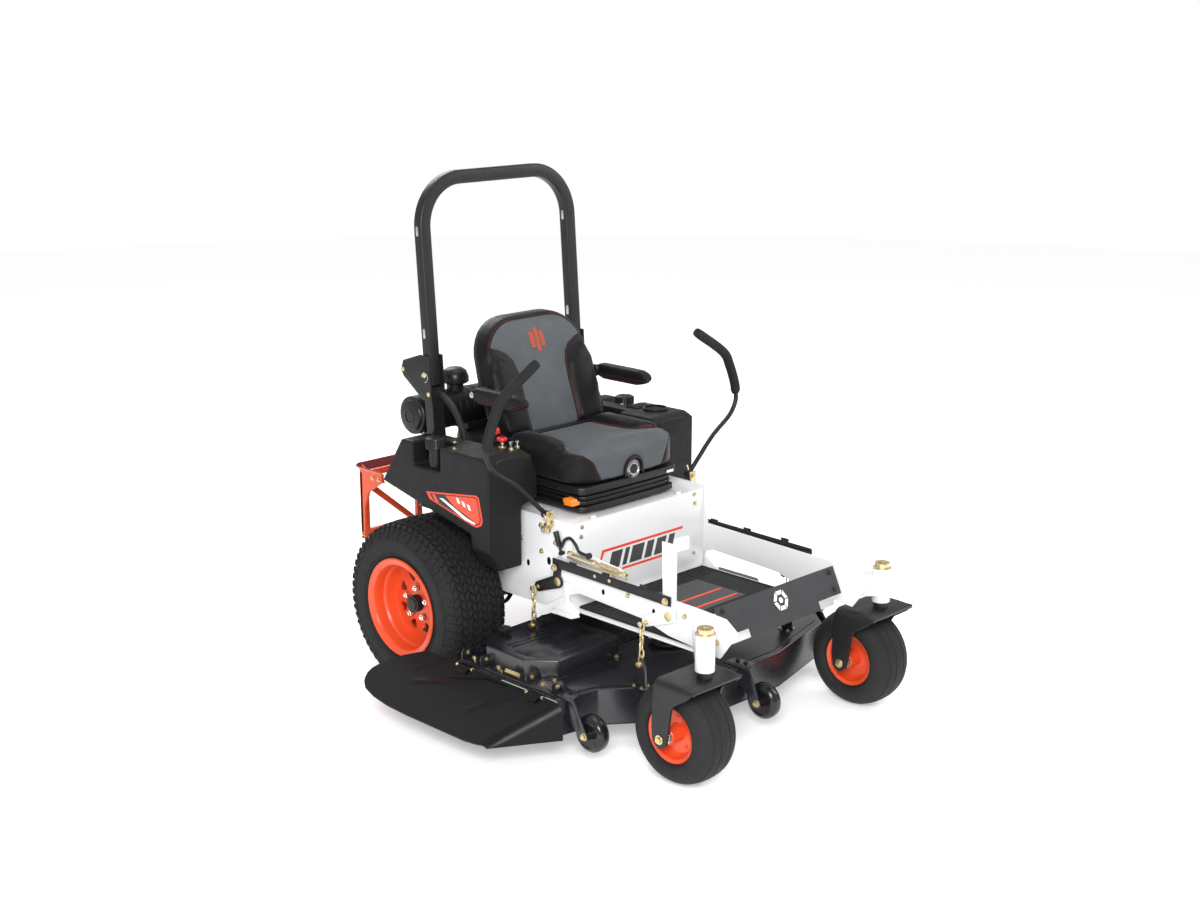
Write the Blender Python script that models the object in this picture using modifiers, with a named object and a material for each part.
"""Zero turn mower: a steel frame on two drive wheels and two casters, with a sprung seat, a folding
roll bar, twin steering levers, a rear engine with its guard, and a three-blade deck hung on chains.

Metres, +Z up. The machine faces -Y, and the operator's right hand is towards -X. Pieces are laid
out from a datum on the ground under the caster wheels' axles, on the centre line. The empty called
mower then moves them all, so that the world origin is under the middle of the whole machine.
"""

import math

import bmesh
import bpy
from mathutils import Matrix, Vector

GAP = 0.0005  # air between pieces that touch on the real machine

# Wheels
WHEELBASE = 1.1655
DRIVE_X = 0.467
DRIVE_R = 0.292
DRIVE_W = 0.250
DRIVE_BEAD_R = 0.150
DRIVE_LIP_R = 0.171
CASTER_X = 0.434
CASTER_R = 0.165
CASTER_W = 0.165
CASTER_BEAD_R = 0.078
CASTER_LIP_R = 0.089
CASTER_TRAIL = 0.075
AXLE_R = 0.010

# Frame
RAIL_IN = 0.322
RAIL_OUT = 0.330
INSIDE = RAIL_IN - GAP
FLOOR_Z = 0.365
ENGINE_FLOOR_Z = 0.445
FRAME_REAR = 1.450
BUMPER_REAR = FRAME_REAR - 0.004
PANEL_Y = 0.606
PANEL_TOP = 0.645
SHEET = 0.005

# Roll bar
ROPS_X = 0.337
ROPS_W = 0.047
ROPS_D = 0.040
ROPS_HINGE = (1.266, 1.050)
ROPS_TOP = 1.727
ROPS_BEND = 0.188
ROPS_LEAN = math.radians(4.0)

# Fuel tanks, and the levers in front of them
TANK_IN = 0.345
TANK_OUT = 0.490
TANK_TOP = 0.856
LEVER_Y = 0.700
LEVER_PIVOT = (0.343, 0.670)

# Lift linkage and deck
LIFT_Y = 0.162
LIFT_PITCH = 0.490
ROCKER_REACH = 0.092
DECK_TOP = 0.205
DECK_SKIRT = 0.085
DECK_LEFT = 0.660
BLADES = {"right": (-0.40, 0.60), "middle": (0.0, 0.47), "left": (0.42, 0.58)}
BLADE_R = 0.205
BLADE_Z = 0.110
COVER_TOP = 0.268
SCALP_WHEELS = {"right": (-0.555, 0.272), "middle": (0.017, 0.066), "left": (0.619, 0.216)}
SCALP_REACH = {"right": 0.092, "middle": 0.078, "left": 0.104}
SCALP_Z = 0.104
CHUTE_HINGE = (-0.630, 0.200)
CHUTE_REACH = 0.840

# Seat
SEAT_FRONT = 0.612
SEAT_HALF = 0.250
CUSHION = (0.744, 0.878)
BACK_PIVOT = (1.030, 0.800)
BACK_LEAN = math.radians(19)
KNOB = (0.0, 0.632, 0.770)

GUARD_REAR = 1.655

COLOURS = {
    "white_paint": ((0.85, 0.86, 0.87), 0.35, 0.0),
    "black_paint": ((0.02, 0.02, 0.022), 0.40, 0.0),
    "deck_paint": ((0.015, 0.017, 0.025), 0.30, 0.0),
    "orange_paint": ((0.90, 0.12, 0.02), 0.35, 0.0),
    "grey_plate": ((0.06, 0.06, 0.065), 0.45, 0.0),
    "black_plastic": ((0.02, 0.02, 0.02), 0.55, 0.0),
    "black_vinyl": ((0.03, 0.03, 0.035), 0.50, 0.0),
    "rubber": ((0.015, 0.015, 0.015), 0.80, 0.0),
    "zinc": ((0.75, 0.62, 0.35), 0.35, 1.0),
    "chrome": ((0.80, 0.80, 0.80), 0.15, 1.0),
    "cast_metal": ((0.35, 0.36, 0.37), 0.55, 1.0),
    "red_plastic": ((0.75, 0.02, 0.02), 0.40, 0.0),
    "orange_plastic": ((0.95, 0.25, 0.02), 0.40, 0.0),
}


# ---------------------------------------------------------------- scene and materials


def clear_scene():
    for obj in list(bpy.data.objects):
        bpy.data.objects.remove(obj, do_unlink=True)


def collection(name):
    made = bpy.data.collections.new(name)
    bpy.context.scene.collection.children.link(made)
    return made


def material(name):
    colour, roughness, metallic = COLOURS[name]
    made = bpy.data.materials.get(name)
    if made is None:
        made = bpy.data.materials.new(name)
        made.use_nodes = True
        shader = made.node_tree.nodes["Principled BSDF"]
        shader.inputs["Base Color"].default_value = (*colour, 1.0)
        shader.inputs["Roughness"].default_value = roughness
        shader.inputs["Metallic"].default_value = metallic
    return made


# ---------------------------------------------------------------- shapes, in machine coordinates


def mesh_object(mesh):
    obj = bpy.data.objects.new("shape", mesh)
    PARTS.objects.link(obj)
    return obj


def from_bmesh(bm):
    mesh = bpy.data.meshes.new("shape")
    bm.to_mesh(mesh)
    bm.free()
    return mesh_object(mesh)


def as_mesh(obj):
    """The object as it evaluates, welded into a plain mesh in machine coordinates."""
    bpy.context.view_layer.update()
    evaluated = obj.evaluated_get(bpy.context.evaluated_depsgraph_get())
    mesh = bpy.data.meshes.new_from_object(evaluated)
    mesh.transform(obj.matrix_world)
    bpy.data.objects.remove(obj, do_unlink=True)
    bm = bmesh.new()
    bm.from_mesh(mesh)
    bmesh.ops.remove_doubles(bm, verts=bm.verts, dist=0.00001)
    bm.to_mesh(mesh)
    bm.free()
    return mesh_object(mesh)


def box(low, high):
    bm = bmesh.new()
    bmesh.ops.create_cube(bm, size=1.0)
    size = Vector(high) - Vector(low)
    centre = (Vector(high) + Vector(low)) / 2
    place = Matrix.Translation(centre) @ Matrix.Diagonal((*size, 1.0))
    bmesh.ops.transform(bm, matrix=place, verts=bm.verts)
    return from_bmesh(bm)


def rod(start, end, radius, sides=16):
    start, end = Vector(start), Vector(end)
    along = end - start
    bm = bmesh.new()
    bmesh.ops.create_cone(
        bm, cap_ends=True, segments=sides, radius1=radius, radius2=radius, depth=along.length
    )
    turn = along.to_track_quat("Z", "Y").to_matrix().to_4x4()
    bmesh.ops.transform(bm, matrix=Matrix.Translation((start + end) / 2) @ turn, verts=bm.verts)
    return from_bmesh(bm)


PLANES = {  # the directions of an outline's first and second value, then of its thickness
    "X": Matrix(((0, 0, 1, 0), (1, 0, 0, 0), (0, 1, 0, 0), (0, 0, 0, 1))),
    "Y": Matrix(((1, 0, 0, 0), (0, 0, -1, 0), (0, 1, 0, 0), (0, 0, 0, 1))),
    "Z": Matrix.Identity(4),
}


def circle(centre, radius, count):
    """Points evenly spaced on a circle, the first at its top."""
    turns = [2 * math.pi * i / count for i in range(count)]
    return [(centre[0] + radius * math.sin(a), centre[1] + radius * math.cos(a)) for a in turns]


def arc(centre, radius, start, end, steps):
    """Points on an arc, its angles in degrees."""
    angles = [math.radians(start + (end - start) * i / steps) for i in range(steps + 1)]
    return [(centre[0] + radius * math.cos(a), centre[1] + radius * math.sin(a)) for a in angles]


def slab(axis, low, high, outline, holes=()):
    """A flat outline, (Y, Z) for axis X, (X, Z) for Y and (X, Y) for Z, thick from low to high."""
    curve = bpy.data.curves.new("outline", "CURVE")
    curve.dimensions = "2D"
    curve.fill_mode = "BOTH"
    curve.extrude = (high - low) / 2
    for loop in (outline, *holes):
        spline = curve.splines.new("POLY")
        spline.points.add(len(loop) - 1)
        for point, (u, v) in zip(spline.points, loop):
            point.co = (u, v, 0.0, 1.0)
        spline.use_cyclic_u = True
    obj = bpy.data.objects.new("slab", curve)
    PARTS.objects.link(obj)
    middle = (high + low) / 2
    offset = {"X": (middle, 0, 0), "Y": (0, middle, 0), "Z": (0, 0, middle)}[axis]
    obj.matrix_world = Matrix.Translation(offset) @ PLANES[axis]
    return as_mesh(obj)


def turned(profile, centre, axis="X", steps=40):
    """A (radius, height) profile turned about an axis through centre. It runs down its outer side."""
    mesh = bpy.data.meshes.new("profile")
    points = [(radius, 0.0, height) for radius, height in profile]
    closed = profile[0][0] > 0
    edges = [(i, i + 1) for i in range(len(points) - 1)]
    if closed:
        edges.append((len(points) - 1, 0))
    mesh.from_pydata(points, edges, [])
    obj = mesh_object(mesh)
    screw = obj.modifiers.new("turn", "SCREW")
    screw.steps = steps
    screw.render_steps = steps
    screw.use_merge_vertices = True
    screw.merge_threshold = 0.00001
    screw.use_normal_calculate = True
    turn = {"X": Matrix.Rotation(math.pi / 2, 4, "Y"), "Z": Matrix.Identity(4)}[axis]
    obj.matrix_world = Matrix.Translation(centre) @ turn
    return outward(as_mesh(obj))


def outward(obj):
    bm = bmesh.new()
    bm.from_mesh(obj.data)
    bmesh.ops.recalc_face_normals(bm, faces=bm.faces)
    bm.to_mesh(obj.data)
    bm.free()
    return obj


def tube(points, radius, sides=2):
    curve = bpy.data.curves.new("path", "CURVE")
    curve.dimensions = "3D"
    curve.bevel_depth = radius
    curve.bevel_resolution = sides
    curve.use_fill_caps = True
    spline = curve.splines.new("POLY")
    spline.points.add(len(points) - 1)
    for point, place in zip(spline.points, points):
        point.co = (*place, 1.0)
    obj = bpy.data.objects.new("tube", curve)
    PARTS.objects.link(obj)
    return as_mesh(obj)


def smooth_path(points, steps=2):
    """Points on a Catmull-Rom curve through the given ones."""
    knots = [Vector(p) for p in points]
    knots = [2 * knots[0] - knots[1], *knots, 2 * knots[-1] - knots[-2]]
    path = []
    for a, b, c, d in zip(knots, knots[1:], knots[2:], knots[3:]):
        for i in range(steps):
            t = i / steps
            square = (2 * a - 5 * b + 4 * c - d) * t**2
            cube = (3 * b - a - 3 * c + d) * t**3
            path.append((2 * b + (c - a) * t + square + cube) / 2)
    return [*path, knots[-2]]


def combine(operation, first, others):
    for other in others:
        modifier = first.modifiers.new(operation, "BOOLEAN")
        modifier.operation = operation
        modifier.object = other
    made = as_mesh(first)
    for other in others:
        bpy.data.objects.remove(other, do_unlink=True)
    return made


def join(first, *others):
    return combine("UNION", first, others)


def cut(first, *others):
    return combine("DIFFERENCE", first, others)


def common(first, *others):
    return combine("INTERSECT", first, others)


def transformed(obj, matrix):
    obj.data.transform(matrix)
    return obj


def part(name, obj, paint, pivot=(0.0, 0.0, 0.0)):
    """Names and paints a finished piece, with its origin on its pivot, and parents it to the machine."""
    obj.name = name
    obj.data.name = name
    obj.data.materials.clear()
    obj.data.materials.append(material(paint))
    obj.data.transform(Matrix.Translation(-Vector(pivot)))
    obj.parent = MOWER
    obj.location = pivot
    obj.data.shade_smooth()
    obj.data.set_sharp_from_angle(angle=math.radians(35))
    return obj


def both_sides(name, obj, paint, pivot=(0.0, 0.0, 0.0)):
    """The piece on the operator's right, at -X, and its mirror image on the left."""
    mesh = obj.data.copy()
    mesh.transform(Matrix.Diagonal((-1.0, 1.0, 1.0, 1.0)))
    mesh.flip_normals()
    part(name + "_right", obj, paint, pivot)
    part(name + "_left", mesh_object(mesh), paint, (-pivot[0], pivot[1], pivot[2]))


# ---------------------------------------------------------------- frame


def side_rails():
    plate = slab("X", -RAIL_OUT, -RAIL_IN, [
        (-0.108, 0.466), (-0.042, 0.372), (0.167, 0.390), (0.273, 0.417), (0.560, 0.430),
        (0.640, 0.400), (0.720, 0.350), (FRAME_REAR, 0.350), (FRAME_REAR, ENGINE_FLOOR_Z),
        (1.010, ENGINE_FLOOR_Z), (0.900, 0.540), (0.870, 0.655), (PANEL_Y, 0.655), (0.590, 0.520),
        (0.030, 0.505), (-0.060, 0.500),
    ])
    beam = slab("Z", 0.400, 0.465, [
        (-0.326, 0.072), (-0.455, -0.054), (-0.413, -0.096), (-0.326, -0.012),
    ])
    pivot = (-CASTER_X, -CASTER_TRAIL)
    sleeve = rod((*pivot, 0.374), (*pivot, 0.490), 0.030, 24)
    bore = rod((*pivot, 0.350), (*pivot, 0.510), 0.0125, 24)
    both_sides("side_rail", cut(join(plate, beam, sleeve), bore), "white_paint")


def floor():
    pan = slab("X", -INSIDE, INSIDE, [
        (0.030, FLOOR_Z - SHEET), (0.604, FLOOR_Z - SHEET), (0.604, FLOOR_Z), (0.035, FLOOR_Z),
        (0.035, 0.480), (0.030, 0.480),
    ])
    part("foot_pan", pan, "white_paint")
    mat = box((-0.300, 0.060, FLOOR_Z + GAP), (0.300, 0.590, FLOOR_Z + 0.008))
    part("floor_mat", mat, "rubber")
    plate = slab("X", -0.289, 0.289, [
        (0.021, 0.505), (0.0165, 0.507), (-0.0225, 0.423), (-0.018, 0.421),
    ])
    tab = slab("X", -0.170, 0.170, [
        (-0.016, 0.425), (-0.0205, 0.427), (-0.0345, 0.397), (-0.030, 0.395),
    ])
    part("front_plate", join(plate, tab), "grey_plate")


def seat_panel():
    panel = slab("X", -INSIDE, INSIDE, [
        (PANEL_Y, FLOOR_Z - SHEET), (PANEL_Y + 0.006, FLOOR_Z - SHEET),
        (PANEL_Y + 0.006, PANEL_TOP - 0.006), (1.020, PANEL_TOP - 0.006), (1.020, PANEL_TOP),
        (PANEL_Y, PANEL_TOP),
    ])
    hooks = [
        rod((x, 0.620, PANEL_TOP - 0.003), (x, 0.620, 0.654), 0.009) for x in (-0.205, 0.205)
    ]
    part("seat_panel", join(panel, *hooks), "white_paint")


def engine_deck():
    top = ENGINE_FLOOR_Z + GAP
    plate = box((-RAIL_OUT, 1.014, top), (RAIL_OUT, BUMPER_REAR, top + 0.006))
    bumper = box((-INSIDE, 1.410, 0.360), (INSIDE, BUMPER_REAR, top + 0.003))
    hitch_plate = box((-0.270, 1.430, 0.364), (0.270, FRAME_REAR, 0.440))
    part("engine_deck", join(plate, bumper, hitch_plate), "black_paint")


def engine_guard():
    bars = [
        box((-0.400, 1.600, 0.400), (0.400, 1.612, 0.432)),
        box((-0.400, 1.600, 0.633), (0.400, 1.612, 0.670)),
    ]
    for side in (-1, 1):
        for x in (0.385, 0.140):
            bars.append(box((side * x - 0.015, 1.598, 0.410), (side * x + 0.015, 1.614, 0.668)))
        bars.append(slab("Y", 1.601, 1.611, [
            (side * 0.385, 0.620), (side * 0.140, 0.420), (side * 0.170, 0.420), (side * 0.385, 0.592),
        ]))
        outer = sorted((side * 0.400, side * 0.388))
        bars.append(slab("X", outer[0], outer[1], [
            (1.485, 0.668), (1.485, 0.633), (1.570, 0.580), (1.590, 0.400), (1.612, 0.400),
            (1.612, 0.668),
        ]))
        inner = sorted((side * INSIDE, side * 0.285))
        bars.append(box((inner[0], BUMPER_REAR + GAP, 0.402), (inner[1], 1.606, 0.430)))
    rim = slab("Z", 0.662, 0.669, [
        (-0.400, 1.485), (-0.385, 1.485), (-0.340, 1.560), (0.340, 1.560), (0.385, 1.485),
        (0.400, 1.485), (0.400, GUARD_REAR - 0.030), (0.370, GUARD_REAR), (-0.370, GUARD_REAR),
        (-0.400, GUARD_REAR - 0.030),
    ])
    part("engine_guard", join(rim, *bars), "orange_paint")


# ---------------------------------------------------------------- roll bar


def rops_posts():
    def lean(z):
        return ROPS_HINGE[0] + (z - ROPS_HINGE[1]) * math.tan(ROPS_LEAN)

    half = ROPS_D / 2
    outer, inner = -ROPS_X - 0.025, -ROPS_X + 0.025
    post = slab("X", outer, inner, [
        (lean(0.620) - half, 0.620), (lean(0.620) + half, 0.620),
        (lean(1.005) + half, 1.005), (lean(1.005) - half, 1.005),
    ])
    foot = slab("X", -0.3295, -0.3125, [
        (1.150, 0.452), (1.300, 0.452), (1.300, 0.520), (1.265, 0.690), (1.215, 0.690), (1.150, 0.520),
    ])
    ear = [
        (lean(0.960) - 0.024, 0.960), (lean(0.960) + 0.024, 0.960), (1.385, 1.030), (1.398, 1.050),
        (1.385, 1.085), (lean(1.115) + 0.024, 1.115), (lean(1.115) - 0.024, 1.115),
    ]
    cheeks = [
        slab("X", outer - 0.006, outer + 0.001, ear),
        slab("X", inner - 0.001, inner + 0.006, ear),
    ]
    pin = rod((outer - 0.012, *ROPS_HINGE), (inner + 0.012, *ROPS_HINGE), 0.0075)
    parked = [
        rod((outer - 0.012, 1.380, 1.055), (outer + 0.0007, 1.380, 1.055), 0.006),
        rod((inner - 0.0007, 1.380, 1.055), (inner + 0.012, 1.380, 1.055), 0.006),
    ]
    brace = tube(smooth_path([
        (-0.327, 1.245, 0.985), (-0.327, 1.180, 0.950), (-0.327, 1.125, 0.870),
        (-0.327, 1.095, 0.700), (-0.327, 1.090, 0.464),
    ]), 0.012)
    tie = rod((-0.327, 1.090, 0.470), (-0.327, 1.170, 0.470), 0.010)
    both_sides("rops_post", join(post, foot, *cheeks, pin, *parked, brace, tie), "black_paint")


def rops_hoop():
    outer = ROPS_X + ROPS_W / 2
    inner = ROPS_X - ROPS_W / 2
    foot = ROPS_HINGE[1] - 0.038
    corner = (outer - ROPS_BEND, ROPS_TOP - ROPS_BEND)
    outside = arc(corner, ROPS_BEND, 0, 90, 10)
    inside = arc(corner, ROPS_BEND - ROPS_W, 90, 0, 10)
    right = [(outer, foot), *outside]
    left = [(-x, z) for x, z in reversed(right)]
    under = [(-x, z) for x, z in reversed(inside)]
    outline = [*right, *left, (-inner, foot), *under, *inside, (inner, foot)]
    half = ROPS_D / 2
    hoop = slab("Y", ROPS_HINGE[0] - half, ROPS_HINGE[0] + half, outline)
    bore = rod((-0.5, *ROPS_HINGE), (0.5, *ROPS_HINGE), 0.0085)
    hoop = cut(hoop, bore)
    pivot = Matrix.Translation((0.0, *ROPS_HINGE))
    transformed(hoop, pivot @ Matrix.Rotation(-ROPS_LEAN, 4, "X") @ pivot.inverted())
    part("rops_hoop", hoop, "black_paint", (0.0, *ROPS_HINGE))


# ---------------------------------------------------------------- wheels


def tyre_profile(radius, width, bead_r, lip_r, bead_w, corner):
    """Half of a tyre's section, from the middle of the tread to the bead, then its mirror image."""
    half = width / 2
    shoulder = arc((radius - corner, half - corner), corner, 0, 90, 4)
    belly = (bead_r + 0.45 * (radius - bead_r), half - 0.002)
    side = [*shoulder, belly, (lip_r + 0.001, bead_w / 2), (bead_r, bead_w / 2)]
    return [(radius, 0.0), *side, *[(r, -h) for r, h in reversed(side)]]


def rim_profile(seat_r, lip_r, bead_w, disc, hub_r, bore_r):
    """A wheel: a barrel with a lip at each end, and a disc at height disc out to the barrel."""
    half = bead_w / 2 + GAP
    inner = seat_r - 0.005
    return [
        (seat_r, half), (seat_r, -half), (lip_r, -half), (lip_r, -half - 0.005), (inner, -half - 0.005),
        (inner, disc - 0.004), (hub_r, disc - 0.004), (hub_r, disc - 0.030), (bore_r, disc - 0.030),
        (bore_r, disc + 0.012), (hub_r, disc + 0.012), (hub_r, disc + 0.004), (inner, disc + 0.004),
        (inner, half + 0.005), (lip_r, half + 0.005), (lip_r, half),
    ]


def drive_wheels():
    centre = (-DRIVE_X, WHEELBASE, DRIVE_R)
    bead_w = 0.222
    section = tyre_profile(DRIVE_R, DRIVE_W, DRIVE_BEAD_R, DRIVE_LIP_R, bead_w, 0.045)
    both_sides("drive_tyre", turned(section, centre, "X", 32), "rubber", centre)
    section = rim_profile(DRIVE_BEAD_R - GAP, DRIVE_LIP_R, bead_w, -0.030, 0.045, 0.0205)
    rim = turned(section, centre, "X", 32)
    vents = []
    for y, z in circle((WHEELBASE, DRIVE_R), 0.092, 8):
        vents.append(rod((-DRIVE_X - 0.060, y, z), (-DRIVE_X + 0.010, y, z), 0.012, 12))
    both_sides("drive_rim", cut(rim, *vents), "orange_paint", centre)


def casters():
    centre = (-CASTER_X, 0.0, CASTER_R)
    bead_w = 0.120
    section = tyre_profile(CASTER_R, CASTER_W, CASTER_BEAD_R, CASTER_LIP_R, bead_w, 0.042)
    both_sides("caster_tyre", turned(section, centre, "X", 24), "rubber", centre)
    half = bead_w / 2 + GAP
    right = [
        (CASTER_BEAD_R - GAP, -half), (CASTER_LIP_R, -half), (CASTER_LIP_R, -half - 0.0045),
        (0.072, -half - 0.0045), (0.060, -0.030), (0.026, -0.028), (0.026, -0.080),
        (AXLE_R + GAP, -0.080),
    ]
    section = [*right, *[(radius, -height) for radius, height in reversed(right)]]
    both_sides("caster_rim", turned(section, centre, "X", 24), "orange_paint", centre)
    both_sides("caster_fork", caster_fork(), "black_paint", (-CASTER_X, -CASTER_TRAIL, CASTER_R))


def caster_fork():
    """Fork crown, two trailing legs, the axle between them, and the spindle with its nut."""
    leg = [
        (-0.125, 0.345), (-0.128, 0.330), (-0.050, 0.300),
        *arc((0.0, CASTER_R), 0.030, 180, 360, 6), (0.030, 0.190), (0.015, 0.353), (-0.115, 0.353),
    ]
    legs = []
    for side in (-1, 1):
        faces = sorted((-CASTER_X + side * 0.1057, -CASTER_X + side * 0.1137))
        legs.append(slab("X", faces[0], faces[1], leg))
    crown = box((-CASTER_X - 0.110, -0.125, 0.3445), (-CASTER_X + 0.110, 0.015, 0.3528))
    pivot = (-CASTER_X, -CASTER_TRAIL)
    boss = rod((*pivot, 0.350), (*pivot, 0.3735), 0.024, 20)
    spindle = rod((*pivot, 0.360), (*pivot, 0.500), 0.012, 24)
    nut = rod((*pivot, 0.4905), (*pivot, 0.507), 0.024, 20)
    ends = [(-CASTER_X + side * 0.122, 0.0, CASTER_R) for side in (-1, 1)]
    axle = rod(*ends, AXLE_R, 20)
    return join(crown, *legs, boss, spindle, nut, axle)


def transaxles():
    body = box((-INSIDE, 1.060, 0.230), (-0.130, 1.270, ENGINE_FLOOR_Z))
    case = rod((-0.3215, WHEELBASE, DRIVE_R), (-0.3395, WHEELBASE, DRIVE_R), 0.045, 20)
    shaft = rod((-0.330, WHEELBASE, DRIVE_R), (-0.505, WHEELBASE, DRIVE_R), 0.020, 20)
    fan = rod((-0.225, 1.045, 0.300), (-0.225, 1.065, 0.300), 0.055, 20)
    both_sides("transaxle", join(body, case, shaft, fan), "cast_metal")


# ---------------------------------------------------------------- engine


def engine():
    block = box((-0.200, 1.120, 0.452), (0.200, 1.470, 0.740))
    shroud = rod((0.0, 1.300, 0.735), (0.0, 1.300, 0.812), 0.165, 32)
    heads = [
        box((-0.260, 1.350, 0.520), (-0.195, 1.465, 0.680)),
        box((0.195, 1.350, 0.520), (0.260, 1.465, 0.680)),
    ]
    part("engine", join(block, shroud, *heads), "black_plastic")
    canister = rod((-0.370, 1.352, 0.893), (0.020, 1.352, 0.893), 0.067, 28)
    cap = rod((-0.376, 1.352, 0.893), (-0.365, 1.352, 0.893), 0.055, 28)
    snorkel = rod((-0.165, 1.352, 0.900), (-0.165, 1.352, 1.035), 0.048, 20)
    base = box((-0.150, 1.300, 0.8125), (-0.020, 1.400, 0.860))
    part("air_cleaner", join(canister, cap, snorkel, base), "black_plastic")
    can = rod((-0.180, 1.535, 0.560), (0.180, 1.535, 0.560), 0.052, 24)
    pipe = rod((0.100, 1.471, 0.560), (0.100, 1.530, 0.560), 0.018, 12)
    outlet = rod((-0.120, 1.535, 0.560), (-0.120, 1.535, 0.480), 0.018, 12)
    part("muffler", join(can, pipe, outlet), "cast_metal")


# ---------------------------------------------------------------- fuel tanks and controls


def fuel_tanks():
    """Side view, front view and plan meet in each tank's shape. A shelf reaches in over the frame."""
    side = slab("X", -TANK_OUT, -0.275, [
        (0.812, 0.469), (0.900, 0.475), (0.905, 0.586), (1.190, 0.646), (1.365, 0.684),
        (1.255, TANK_TOP - 0.006), (0.850, TANK_TOP), (0.812, 0.840),
    ])
    front = slab("Y", 0.700, 1.500, [
        (-TANK_IN, 0.400), (-0.430, 0.400), (-0.445, 0.475), (-0.560, 0.650), (-0.560, 0.900),
        (-0.340, 0.900), (-0.300, 0.838), (-0.275, 0.770), (-0.275, 0.692), (-TANK_IN, 0.672),
    ])
    behind = box((-TANK_IN, 1.000, 0.400), (-0.200, 1.500, 0.950))
    post_notch = box((-0.369, 1.195, 0.400), (-0.200, 1.500, 0.950))
    recess = box((-0.600, 1.055, 0.770), (-0.405, 1.195, 0.950))
    tank = cut(common(side, front), behind, post_notch, recess)
    both_sides("fuel_tank", tank, "black_plastic")
    place = (-0.452, 1.118)
    neck = rod((*place, 0.770 + GAP), (*place, 0.840), 0.022, 20)
    cap = rod((*place, 0.835), (*place, 0.872), 0.034, 24)
    both_sides("fuel_cap", join(neck, cap), "black_plastic", (*place, 0.770))


def console():
    place = (-0.345, 0.905)
    stem = rod((*place, TANK_TOP + GAP), (*place, 0.880), 0.006, 12)
    head = rod((*place, 0.875), (*place, 0.892), 0.017, 20)
    part("pto_knob", join(stem, head), "red_plastic", (*place, TANK_TOP))
    axle = rod((-0.357, 0.955, 0.865), (-0.333, 0.955, 0.865), 0.007, 16)
    arm = box((-0.348, 0.952, 0.865), (-0.342, 0.958, 0.895))
    grip = box((-0.353, 0.944, 0.890), (-0.337, 0.966, 0.912))
    part("throttle_lever", join(axle, arm, grip), "red_plastic", (-0.345, 0.955, 0.865))


def control_levers():
    """Each lever tilts fore and aft with its bracket, and swings out to park on the bracket's pin."""
    x, z = LEVER_PIVOT
    bracket = slab("Y", LEVER_Y - 0.024, LEVER_Y - 0.018, [
        (-x - 0.016, z + 0.016), (-x - 0.016, z - 0.040), (-x + 0.004, z - 0.040),
        (-x + 0.016, z + 0.016),
    ])
    hub_z = z - 0.048
    hub = rod((-RAIL_OUT - GAP, LEVER_Y, hub_z), (-RAIL_OUT - 0.022, LEVER_Y, hub_z), 0.012)
    web = box((-x - 0.006, LEVER_Y - 0.022, z - 0.056), (-x + 0.002, LEVER_Y + 0.004, z - 0.030))
    pin = rod((-x, LEVER_Y - 0.026, z), (-x, LEVER_Y + 0.012, z), 0.005, 12)
    bracket_pivot = (-RAIL_OUT, LEVER_Y, hub_z)
    both_sides("lever_bracket", join(bracket, hub, web, pin), "zinc", bracket_pivot)
    path = [
        (-x, LEVER_Y, z), (-0.393, LEVER_Y, 0.718), (-0.472, LEVER_Y, 0.791), (-0.560, LEVER_Y, 0.850),
        (-0.592, LEVER_Y, 0.900), (-0.588, LEVER_Y, 0.945),
    ]
    shaft = tube(smooth_path(path), 0.008)
    grip_path = [
        (-0.590, LEVER_Y, 0.925), (-0.585, LEVER_Y, 0.960), (-0.556, LEVER_Y, 1.030),
        (-0.517, LEVER_Y, 1.086), (-0.378, LEVER_Y, 1.173),
    ]
    grip = tube(smooth_path(grip_path), 0.017)
    eye = rod((-x, LEVER_Y - 0.010, z), (-x, LEVER_Y + 0.010, z), 0.012)
    hole = rod((-x, LEVER_Y - 0.030, z), (-x, LEVER_Y + 0.030, z), 0.0055, 12)
    lever = cut(join(eye, shaft, grip), hole)
    both_sides("control_lever", lever, "black_paint", (-x, LEVER_Y, z))


# ---------------------------------------------------------------- seat


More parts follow.
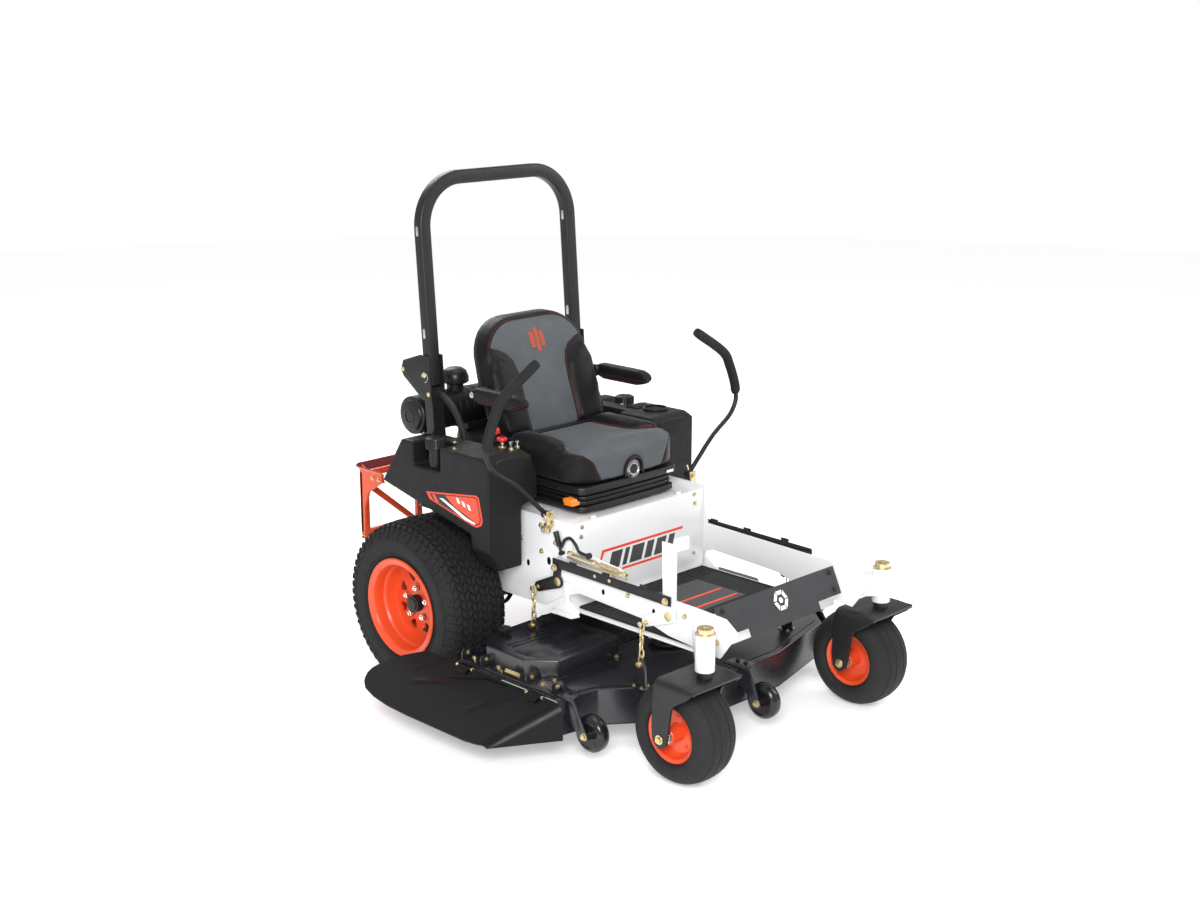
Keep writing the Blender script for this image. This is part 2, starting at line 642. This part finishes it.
def seat():
    base = box((-0.235, 0.640, 0.656), (0.235, 1.010, 0.742))
    runners = box((-0.150, 0.680, PANEL_TOP + GAP), (0.150, 0.950, 0.660))
    bracket = box((-0.210, 1.005, 0.660), (0.210, 1.019, 0.782))
    part("seat_suspension", join(base, runners, bracket), "black_plastic")
    side = slab("X", -SEAT_HALF, SEAT_HALF, [
        (SEAT_FRONT, CUSHION[0]), (1.000, CUSHION[0]), (0.982, 0.835), (0.900, 0.855),
        (0.665, CUSHION[1]), (0.640, 0.868), (SEAT_FRONT, 0.815),
    ])
    plan = slab("Z", 0.700, 0.900, [
        (-0.260, 1.010), (-0.260, 0.700), (-0.215, 0.650), (-0.100, 0.622), (0.100, 0.622),
        (0.215, 0.650), (0.260, 0.700), (0.260, 1.010),
    ])
    notch = rod((0.0, 0.550, 0.770), (0.0, 0.712, 0.770), 0.040, 24)
    part("seat_cushion", cut(common(side, plan), notch), "black_vinyl")
    outline = [
        (-0.215, 0.800), (0.215, 0.800), (0.245, 0.880), (0.252, 1.000),
        *arc((0.085, 1.078), 0.160, 0, 90, 6), *arc((-0.085, 1.078), 0.160, 90, 180, 6),
        (-0.252, 1.000), (-0.245, 0.880),
    ]
    lean = math.tan(BACK_LEAN)
    slope = Matrix(((1, 0, 0, 0), (0, 1, lean, 0.990 - 0.833 * lean), (0, 0, 1, 0), (0, 0, 0, 1)))
    pad = transformed(slab("Y", 0.0, 0.095, outline), slope)
    pad = cut(pad, box((-0.300, 0.900, 0.700), (0.300, 1.300, 0.842)))
    lugs = [box((x - 0.012, 1.0195, 0.788), (x + 0.012, 1.045, 0.880)) for x in (-0.180, 0.180)]
    part("seat_back", join(pad, *lugs), "black_vinyl", (0.0, *BACK_PIVOT))
    armrests()
    knob = turned([
        (0.0, 0.0), (0.024, 0.0), (0.027, -0.006), (0.027, -0.024), (0.010, -0.028),
        (0.010, -0.078), (0.0, -0.078),
    ], (0.0, 0.0, 0.0), "Z", 24)
    transformed(knob, Matrix.Translation(KNOB) @ Matrix.Rotation(math.pi / 2, 4, "X"))
    part("weight_knob", knob, "chrome", KNOB)
    bar = box((-0.246, 0.650, 0.690), (-0.2355, 0.720, 0.700))
    tab = box((-0.272, 0.650, 0.688), (-0.240, 0.690, 0.712))
    part("slide_lever", join(bar, tab), "orange_plastic", (-0.240, 0.715, 0.695))


def armrests():
    pad = slab("X", -0.318, -0.268, [
        (1.105, 0.990), (1.110, 1.012), (1.080, 1.028), (0.880, 1.028), (0.850, 1.018), (0.838, 1.000),
        (0.850, 0.978), (0.890, 0.968), (1.060, 0.966),
    ])
    both_sides("armrest", pad, "black_vinyl", (-0.290, 1.085, 1.005))


# ---------------------------------------------------------------- deck and lift


def deck_outline():
    return [
        (-0.618, 0.360), (-0.470, 0.335), (-0.360, 0.250), (-0.120, 0.138), (0.180, 0.138),
        (0.440, 0.205), (0.510, 0.222), (0.575, 0.300), (DECK_LEFT, 0.335), (DECK_LEFT, 0.720),
        (0.600, 0.835), (0.320, 0.835), (0.290, 0.930), (-0.290, 0.930), (-0.320, 0.835),
        (-0.618, 0.835),
    ]


def pressed_shell(outline, top, bottom, thickness, open_sides=()):
    """A flat top with walls down from its edge, except along the numbered sides, made into sheet."""
    bm = bmesh.new()
    ring = [bm.verts.new((x, y, top)) for x, y in outline]
    bm.faces.new(ring)
    count = len(ring)
    low = [bm.verts.new((x, y, bottom)) for x, y in outline]
    for i in range(count):
        if i not in open_sides:
            j = (i + 1) % count
            bm.faces.new((ring[j], ring[i], low[i], low[j]))
    for vert in [v for v in bm.verts if not v.link_faces]:
        bm.verts.remove(vert)
    bmesh.ops.recalc_face_normals(bm, faces=bm.faces)
    obj = from_bmesh(bm)
    solidify = obj.modifiers.new("sheet", "SOLIDIFY")
    solidify.thickness = thickness
    solidify.offset = -1.0
    solidify.use_even_offset = True
    return outward(as_mesh(obj))


def hanger(side, y, eye):
    """The bracket and the chain that a rocker lifts the deck by, up to the chain's top pin."""
    x = side * 0.360
    bracket = box((x - 0.004, y - 0.022, DECK_TOP - 0.003), (x + 0.004, y + 0.022, 0.300))
    chain = box((x - 0.005, y - 0.010, 0.290), (x + 0.005, y + 0.010, eye + 0.010))
    return bracket, chain


def wheel_bracket(x, y, behind, high):
    """A plate from the deck's front wall, as far behind the wheel's axle, and the axle on it."""
    z = SCALP_Z
    plate = slab("X", x - 0.037, x - 0.031, [
        (y - 0.015, z - 0.012), (y + 0.015, z - 0.012), (y + behind, z + 0.060), (y + behind, high),
        (y + behind - 0.040, high),
    ])
    return plate, rod((x - 0.033, y, z), (x + 0.029, y, z), 0.006, 12)


def deck():
    shell = pressed_shell(deck_outline(), DECK_TOP, DECK_SKIRT, 0.005, open_sides=(15,))
    bores = [rod((x, y, 0.150), (x, y, 0.260), 0.022, 20) for x, y in BLADES.values()]
    shell = cut(shell, *bores)
    front_y, rear_y = LIFT_Y + ROCKER_REACH, LIFT_Y + ROCKER_REACH + LIFT_PITCH
    added = []
    for side in (-1, 1):
        added += [*hanger(side, front_y, 0.417), *hanger(side, rear_y, 0.412)]
    for name, (x, y) in SCALP_WHEELS.items():
        added += wheel_bracket(x, y, SCALP_REACH[name], DECK_TOP - 0.001)
    part("mower_deck", join(shell, *added), "deck_paint")


def scalp_wheels():
    profile = [
        (0.060, 0.015), (0.060, -0.015), (0.048, -0.024), (0.0065, -0.024), (0.0065, 0.024),
        (0.048, 0.024),
    ]
    for name, (x, y) in SCALP_WHEELS.items():
        centre = (x, y, SCALP_Z)
        part("anti_scalp_wheel_" + name, turned(profile, centre, "X", 16), "black_plastic", centre)


def belt_covers():
    outline = [
        (-0.205, 0.500), (-0.500, 0.480), (-0.572, 0.560), (-0.572, 0.740), (-0.500, 0.815),
        (-0.205, 0.825),
    ]
    cover = pressed_shell(outline, COVER_TOP, DECK_TOP + GAP, 0.003)
    cover = cut(cover, box((-0.368, 0.720, 0.190), (-0.352, 0.768, 0.290)))
    both_sides("belt_cover", cover, "deck_paint")


def blades():
    """Spindle, pulley and blade turn as one."""
    for name, (x, y) in BLADES.items():
        shaft = rod((x, y, BLADE_Z - 0.012), (x, y, 0.255), 0.015, 20)
        pulley = rod((x, y, 0.222), (x, y, 0.240), 0.070, 28)
        bar = box(
            (x - BLADE_R, y - 0.030, BLADE_Z - 0.003), (x + BLADE_R, y + 0.030, BLADE_Z + 0.003)
        )
        part("blade_" + name, join(shaft, pulley, bar), "cast_metal", (x, y, BLADE_Z))


def chute():
    """Sheet that slopes from its hinge on the deck's open side down to its outer edge."""
    x, z = CHUTE_HINGE
    root = -0.6235
    corner = -0.790
    fall = 0.116 / (CHUTE_REACH + root)
    sheet = slab("Z", z - 0.004, z + 0.002, [
        (root, 0.330), (corner, 0.330), (-CHUTE_REACH, 0.480), (-CHUTE_REACH, 0.830),
        (-0.832, 1.000), (-0.810, 1.090), (-0.765, 1.120), (-0.700, 1.090), (root, 0.980),
    ])
    shear = Matrix(((1, 0, 0, 0), (0, 1, 0, 0), (fall, 0, 1, -fall * root), (0, 0, 0, 1)))
    transformed(sheet, shear)
    flange = slab("Y", 0.3305, 0.337, [
        (corner, 0.086), (corner, z - 0.001 - fall * (root - corner)), (root, z - 0.001),
        (root, 0.080),
    ])
    knuckles = [rod((x, y - 0.028, z), (x, y + 0.028, z), 0.006, 12) for y in (0.450, 0.780)]
    part("discharge_chute", join(sheet, flange, *knuckles), "rubber", (x, 0.600, z))


def lift():
    """A pedal and four rockers turn together through the two link bars, and raise the deck's chains."""
    outer, inner = -0.3385, -0.3325
    front_z, rear_z = 0.455, 0.450
    rear_y = LIFT_Y + LIFT_PITCH
    rocker = [
        *arc((0.0, 0.0), 0.022, 120, 250, 5), (ROCKER_REACH, -0.056),
        *arc((ROCKER_REACH, -0.038), 0.018, 270, 430, 5), (0.022, 0.015), (0.014, 0.058),
        (-0.014, 0.058),
    ]

    def plate(y, z):
        return slab("X", outer, inner, [(y + u, z + v) for u, v in rocker])

    pedal = slab("X", outer, inner, [
        (LIFT_Y - 0.030, 0.440), (LIFT_Y + 0.020, 0.440), (LIFT_Y + 0.028, 0.690),
        (LIFT_Y - 0.030, 0.690),
    ])
    pad = box((outer, LIFT_Y - 0.040, 0.672), (-0.290, LIFT_Y - 0.024, 0.711))
    pivot = ((outer + inner) / 2, LIFT_Y, front_z)
    part("lift_pedal", join(plate(LIFT_Y, front_z), pedal, pad), "white_paint", pivot)
    left = plate(LIFT_Y, front_z)
    transformed(left, Matrix.Translation((-outer - inner, 0.0, 0.0)))
    part("lift_rocker_front_left", left, "black_paint", (-pivot[0], LIFT_Y, front_z))
    both_sides("lift_rocker_rear", plate(rear_y, rear_z), "black_paint", (pivot[0], rear_y, rear_z))
    link = slab("X", -0.346, -0.341, [
        (LIFT_Y - 0.015, 0.492), (rear_y + 0.015, 0.500), (rear_y + 0.015, 0.530),
        (LIFT_Y - 0.015, 0.522),
    ])
    bolts = [
        rod((-0.345, y, z + 0.052), (-0.352, y, z + 0.052), 0.013)
        for y, z in ((LIFT_Y, front_z), (rear_y, rear_z))
    ]
    both_sides("lift_link", join(link, *bolts), "black_paint", (-0.3435, LIFT_Y, 0.507))


clear_scene()
PARTS = collection("zero_turn_mower")
MOWER = bpy.data.objects.new("mower", None)
PARTS.objects.link(MOWER)
side_rails()
floor()
seat_panel()
engine_deck()
engine_guard()
rops_posts()
rops_hoop()
drive_wheels()
casters()
transaxles()
engine()
fuel_tanks()
console()
control_levers()
seat()
deck()
scalp_wheels()
belt_covers()
blades()
chute()
lift()
MOWER.location = ((CHUTE_REACH - DECK_LEFT) / 2, (CASTER_R - GUARD_REAR) / 2, 0.0)
